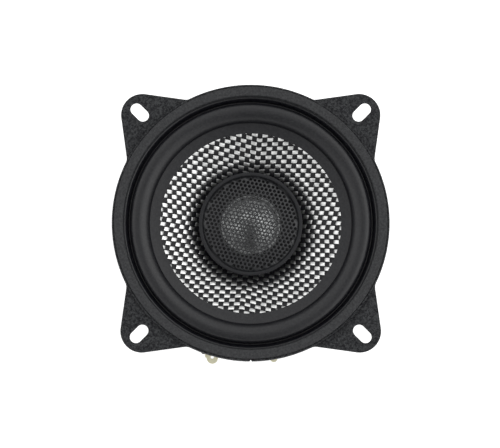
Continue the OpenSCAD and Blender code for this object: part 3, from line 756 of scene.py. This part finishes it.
def tows(name, along_a, pitch, width, other_pitch, material):
    """All the tows of one direction, as ribbons that pass over and under the others."""
    reach = 38.0
    count = int(reach / pitch)
    across = np.linspace(-0.5, 0.5, 6)
    points, faces, uvs = [], [], []
    rng = random.Random(7 if along_a else 11)
    for i in range(-count, count + 1):
        along = np.arange(-reach, reach + 0.01, 0.3)
        wobble = rng.uniform(-0.05, 0.05)
        u, t = np.meshgrid(along, across, indexing="ij")
        # over and under, with flat floats and quick crossings
        wave = np.cos(math.pi * u / other_pitch + math.pi * i)
        lift = TOW_RISE * np.tanh(1.8 * wave) / math.tanh(1.8) * (1 if along_a else -1)
        height = lift - TOW_CROWN * (2 * t) ** 2 + TOW_LIFT
        pinch = width * (1 - 0.05 * (1 - np.abs(wave)))
        v = i * pitch + wobble + t * pinch
        p, s = draped(u, v, height) if along_a else draped(v, u, height)
        ok = (s > TOW_ENDS[0]) & (s < TOW_ENDS[1])
        base = len(points)
        n = len(across)
        points += list(p.reshape(-1, 3))
        offset = rng.uniform(0, 50)
        uvs += list(np.stack([u + offset, t * width + i * 3.1], axis=-1).reshape(-1, 2))
        for k in range(len(along) - 1):
            for m in range(n - 1):
                if ok[k:k + 2, m:m + 2].all():
                    q = base + k * n + m
                    f = (q, q + n, q + n + 1, q + 1)
                    faces.append(f if along_a else f[::-1])
    used = sorted({q for f in faces for q in f})
    back = {q: k for k, q in enumerate(used)}
    points = [points[q] for q in used]
    faces = [tuple(back[q] for q in f) for f in faces]
    obj = add_mesh(name, points, faces, "cone_assembly", 60, merge=False)
    layer = obj.data.uv_layers.new(name="tow")
    corner = np.array([uvs[used[loop.vertex_index]] for loop in obj.data.loops], np.float32)
    layer.data.foreach_set("uv", corner.ravel())
    return dress(obj, material)


def cone():
    """The moulded body, and the cloth's two sets of tows that lie on it."""
    thickness, drop = 0.6, 0.14
    bend = thickness * math.tan((SLOPE - math.radians(RIM_TILT)) / 2)
    rim = (36.8, rim_height(36.8))
    neck_z = slope_z(NECK_R)
    outline = [rim, (SLOPE_R + 0.5, rim_height(SLOPE_R + 0.5)), (NECK_R, neck_z - drop),
               (NECK_R, neck_z - thickness / math.cos(SLOPE)), (SLOPE_R - bend, RIM_Z - thickness),
               (rim[0], rim[1] - thickness)]
    body = turned("cone_body", outline, "cone_assembly")
    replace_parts(dress(body, "resin"), "cone")
    tows("cone_weft", True, WEFT_PITCH, WEFT_W, WARP_PITCH, "silver_tow")
    tows("cone_warp", False, WARP_PITCH, WARP_W, WEFT_PITCH, "black_tow")


# ---------------------------------------------------------------- tweeter

def tweeter_grille():
    """A perforated sheet, domed, with its edge turned down into the bezel."""
    r, z = hi("tweeter_grille").x, (lo("tweeter_grille").z, hi("tweeter_grille").z)
    pitch, hole, reach = 1.57, 0.56, 16.9
    row = pitch * math.sin(math.pi / 3)
    turn = UP_TURN + math.radians(-11)
    outlines = [arc(0, 0, r, 0, 360 - 360 / 160, 159)]
    for j in range(-int(reach / row), int(reach / row) + 1):
        for i in range(-24, 25):
            x, y = (i + j / 2) * pitch, j * row
            if math.hypot(x, y) < reach:
                c = turned_about_z([(x, y)], turn)[0]
                outlines.append(arc(c[0], c[1], hole, 0, 360 - 360 / 20, 19))
    made = plate("grille_mesh", outlines, z, 0.09)
    rise, drop, dome_edge, turned_down_at = 0.85, 0.85, 17.3, 16.4
    for v in made.data.vertices:
        distance = math.hypot(v.co.x, v.co.y) / MM
        d = min(1.0, distance / dome_edge)
        fall = max(0.0, min(1.0, (distance - turned_down_at) / 1.4))
        v.co.z += (rise * (1 - d * d) - drop * fall) * MM
    made.data.shade_smooth()
    made.data.set_sharp_from_angle(angle=math.radians(50))
    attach(made, "frame")
    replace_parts(made, "tweeter_grille")
    return dress(made, "grille")


def tweeter_suspension():
    """The thin half roll around the dome."""
    film = 0.15
    mid_z = lo("tweeter_suspension").z + film / 2
    dome_r, roll_r, roll_x = hi("tweeter_dome").x, 0.75, 10.5
    line = ([(dome_r, mid_z), (roll_x - roll_r - 0.1, mid_z)] + arc(roll_x, mid_z + 0.1, roll_r, 180, 0, 16)
            + [(roll_x + roll_r + 0.1, mid_z), (13.1, mid_z)])
    made = turned("suspension_roll", sheet_outline(line, film), steps=160)
    dress(made, "film")
    radial_blend(made)
    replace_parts(made, "tweeter_suspension")


def tweeter_dome():
    """A shell cut from a sphere."""
    r, top, base = hi("tweeter_dome").x, hi("tweeter_dome").z, lo("tweeter_dome").z + 0.15
    h = top - base
    ball = (r * r + h * h) / (2 * h)
    reach = math.degrees(math.asin(r / ball))
    outside = arc(0, top - ball, ball, 90 - reach, 90, 24)
    film = 0.08
    inside = arc(0, top - ball, ball - film, 90, 90 - reach, 24)
    made = turned("dome_shell", outside + inside, "tweeter_diaphragm", steps=160)
    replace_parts(made, "tweeter_dome")
    return dress(made, "dome")


def turned_nodes():
    """Turned metal and moulded parts, with their edges eased as real ones are."""
    def ring(node, material, slot, outline):
        made = turned(node + "_part", eased(outline, 0.3, 4), "frame")
        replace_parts(made, node)
        dress(made, material)

    def span(node):
        return lo(node).z, hi(node).z, hi(node).x

    z0, z1, r = span("ring_magnet")
    ring("ring_magnet", "ferrite", "ferrite",
         [(16, z0), (r - 0.7, z0), (r, z0 + 0.7), (r, z1 - 0.7), (r - 0.7, z1), (16, z1)])
    z0, z1, r = span("tweeter_bezel")
    ring("tweeter_bezel", "bezel", "bezel_satin",
         [(18.35, z0), (r, z0), (r, z1), (17.9, z1), (17.9, z0 + 0.5), (18.35, z0 + 0.5)])


def cad_nodes():
    """Materials for the CAD nodes that are shown as they are."""
    for node, material in {
        "top_plate": "steel", "yoke": "steel", "basket_rivets": "rivet", "board_rivets": "rivet",
        "terminal_board": "board", "terminal_positive": "gold", "terminal_negative": "gold",
        "terminal_rivets": "gold", "capacitor": "sleeve", "capacitor_leads": "tinned",
        "capacitor_glue": "glue", "splice_sleeve": "shrink", "tweeter_pedestal": "moulded",
        "tweeter_post": "steel", "post_washer": "rivet", "post_nut": "rivet",
        "tweeter_housing": "moulded", "tweeter_retainer": "moulded", "tweeter_yoke_cup": "steel",
        "tweeter_magnet": "nickel", "tweeter_pole_plate": "steel", "tweeter_felt": "felt",
        "tweeter_coil_former": "kapton", "tweeter_coil_winding": "winding", "coil_former": "kapton",
        "coil_winding": "winding", "neck_fillet": "adhesive", "lead_anchors": "adhesive",
    }.items():
        dress(nodes[node], material)


# ---------------------------------------------------------------- wires

def tinsel():
    """Two braided leads from the terminals to the back of the cone."""
    lead_end = lo("lead_anchors").z
    routes = (
        [(39, -14.2, -9.6), (36, -13.6, -10.6), (31, -11, -12.8), (26.5, -8.4, -11.8),
         (24, -7, lead_end - 1.5), (24, -7, lead_end)],
        [(39, 8.5, -9.75), (36, 8.8, -10.6), (31, 8.8, -12.8), (26.5, 7.8, -11.8),
         (24, 7, lead_end - 1.5), (24, 7, lead_end)])
    leads = [tube("lead", turned_about_z(smoothed(r), TERMINAL_TURN), 0.45) for r in routes]
    made = joined(leads, "tinsel_braid", None)
    dress(made, "tinsel")
    radial_blend(made)
    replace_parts(made, "tinsel_leads")


def tweeter_wires():
    """Two insulated wires from the capacitor and the board, round the magnet and up inside the post."""
    floor_z = -44.2
    first = [(39, 11, -20.5), (39, 15, -20.5), (38.6, 18, -23), (37.4, 15.5, -27), (36.4, 10, -31.5),
             (35.9, 4, -36.5), (35.8, -0.65, -40.5), (35.6, -0.65, -43.4), (34, -0.65, floor_z),
             (20, -0.65, floor_z), (4, -0.65, floor_z), (0.9, -0.65, floor_z + 0.4), (0.3, -0.65, -41),
             (0.3, -0.65, -30), (0.3, -0.65, -13.6)]
    second = [(40.2, 8.5, -10), (40.2, 8.5, -13), (41.2, 13, -17), (41, 20, -21.5), (38.6, 19.5, -27),
              (36.8, 13.5, -32), (36, 7, -36.8), (35.8, 0.65, -40.5), (35.6, 0.65, -43.4),
              (34, 0.65, floor_z), (20, 0.65, floor_z), (4, 0.65, floor_z), (0.9, 0.65, floor_z + 0.4),
              (0.3, 0.65, -41), (0.3, 0.65, -30), (0.3, 0.65, -13.6)]
    wires = [tube("wire", turned_about_z(smoothed(r, 2), TERMINAL_TURN), 0.55) for r in (first, second)]
    made = joined(wires, "tweeter_wire_pair", "frame")
    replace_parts(made, "tweeter_wires")
    return dress(made, "wire_black")


# ---------------------------------------------------------------- floor, light and camera

def floor():
    """The white sheet that the speaker stands on."""
    z = cad_box[0].z - 0.00005
    size = 3.0
    mesh = bpy.data.meshes.new("floor")
    corners = [(-size, -size, z), (size, -size, z), (size, size, z), (-size, size, z)]
    mesh.from_pydata(corners, [], [(0, 1, 2, 3)])
    obj = bpy.data.objects.new("floor", mesh)
    bpy.context.scene.collection.objects.link(obj)
    p = Paint("floor_white").set(Roughness=0.9, Specular_IOR_Level=0.1)
    p.ramp(p.noise(0.01, 2), 0.3, 0.7, (0.90, 0.90, 0.90), (0.93, 0.93, 0.93), "Base Color")
    p.set(Emission_Color=(1, 1, 1, 1), Emission_Strength=0.55)
    obj.data.materials.append(p.material)


def sky():
    """A white tent. Brighter at its sides and top than at the end where the terminals point."""
    world = bpy.data.worlds.new("studio")
    bpy.context.scene.world = world
    world.use_nodes = True
    tree = world.node_tree
    link = tree.links.new
    towards = tree.nodes.new("ShaderNodeTexCoord").outputs["Generated"]

    def math_node(operation, a, b, c=None):
        n = tree.nodes.new("ShaderNodeMath")
        n.operation = operation
        for socket, value in zip(n.inputs, (a, b) if c is None else (a, b, c)):
            if isinstance(value, (int, float)):
                socket.default_value = value
            else:
                link(value, socket)
        return n.outputs[0]

    def clamped(value):
        return math_node("MINIMUM", math_node("MAXIMUM", value, 0.0), 1.0)

    def along(direction):
        n = tree.nodes.new("ShaderNodeVectorMath")
        n.operation = "DOT_PRODUCT"
        n.inputs[1].default_value = direction
        link(towards, n.inputs[0])
        return n.outputs["Value"]

    height = along((0, 0, 1))
    right, up = along(RIGHT), along(UP)
    band = tree.nodes.new("ShaderNodeValToRGB")
    ramp = band.color_ramp
    top = 2.0
    # height and brightness, from the horizon to straight overhead
    stops = ((0.0, 0.25), (0.38, 0.4), (0.46, 1.6), (0.58, 2.0), (0.7, 1.15), (0.8, 1.35),
             (0.9, 1.45), (0.965, 0.95), (0.985, 0.9), (0.992, 0.7), (1.0, 0.6))
    while len(ramp.elements) < len(stops):
        ramp.elements.new(0.5)
    for element, (position, value) in zip(ramp.elements, stops):
        element.position = position
        element.color = (value / top, value / top, value / top, 1)
    link(math_node("MAXIMUM", height, 0.0), band.inputs[0])
    sides = math_node("SUBTRACT", math_node("MULTIPLY", right, right), math_node("MULTIPLY", up, up))
    # the differences between the sides belong to the lights high up, not to the walls
    gain = math_node("MULTIPLY", right, 0.58)
    gain = math_node("MULTIPLY_ADD", up, 0.54, gain)
    gain = math_node("MULTIPLY_ADD", sides, 1.15, gain)
    high_up = math_node("MAXIMUM", math_node("MULTIPLY_ADD", height, 3.3, -1.7), 0.12)
    gain = math_node("MULTIPLY_ADD", gain, math_node("MINIMUM", high_up, 1.0), 0.96)
    gain = math_node("MAXIMUM", gain, 0.2)
    # a dark strip from overhead towards the terminals' side, where the camera stands
    narrow = clamped(math_node("MULTIPLY_ADD", math_node("ABSOLUTE", right, 0.0), -9.0, 1.9))
    below = clamped(math_node("MULTIPLY_ADD", up, -9.0, 1.3))
    tall = clamped(math_node("MULTIPLY_ADD", height, 8.0, -5.6))
    strip = math_node("MULTIPLY", math_node("MULTIPLY", narrow, below), tall)
    gain = math_node("MULTIPLY", gain, math_node("MULTIPLY_ADD", strip, -0.8, 1.0))
    background = tree.nodes["Background"]
    link(band.outputs[0], background.inputs["Color"])
    link(math_node("MULTIPLY", gain, top), background.inputs["Strength"])


def camera():
    """Far away and nearly straight above, as the photograph shows hardly any perspective."""
    data = bpy.data.cameras.new("camera")
    data.sensor_width = 36
    data.lens = 293.4
    data.clip_start, data.clip_end = 0.01, 20
    distance, tilt = 1.5, math.radians(6)
    target = RIGHT * -0.26 * MM + UP * -0.59 * MM + Vector((0, 0, 2.4 * MM))
    back = -UP * math.sin(tilt) + Vector((0, 0, math.cos(tilt)))
    obj = bpy.data.objects.new("camera", data)
    bpy.context.scene.collection.objects.link(obj)
    obj.location = target + back * distance
    obj.rotation_euler = Matrix((RIGHT, back.cross(RIGHT), back)).transposed().to_euler()
    bpy.context.scene.camera = obj


basket()
gasket()
surround()
spider()
cone()
tweeter_grille()
tweeter_suspension()
tweeter_dome()
turned_nodes()
cad_nodes()
tinsel()
tweeter_wires()
floor()
sky()
camera()
bpy.context.scene.view_settings.view_transform = "Standard"
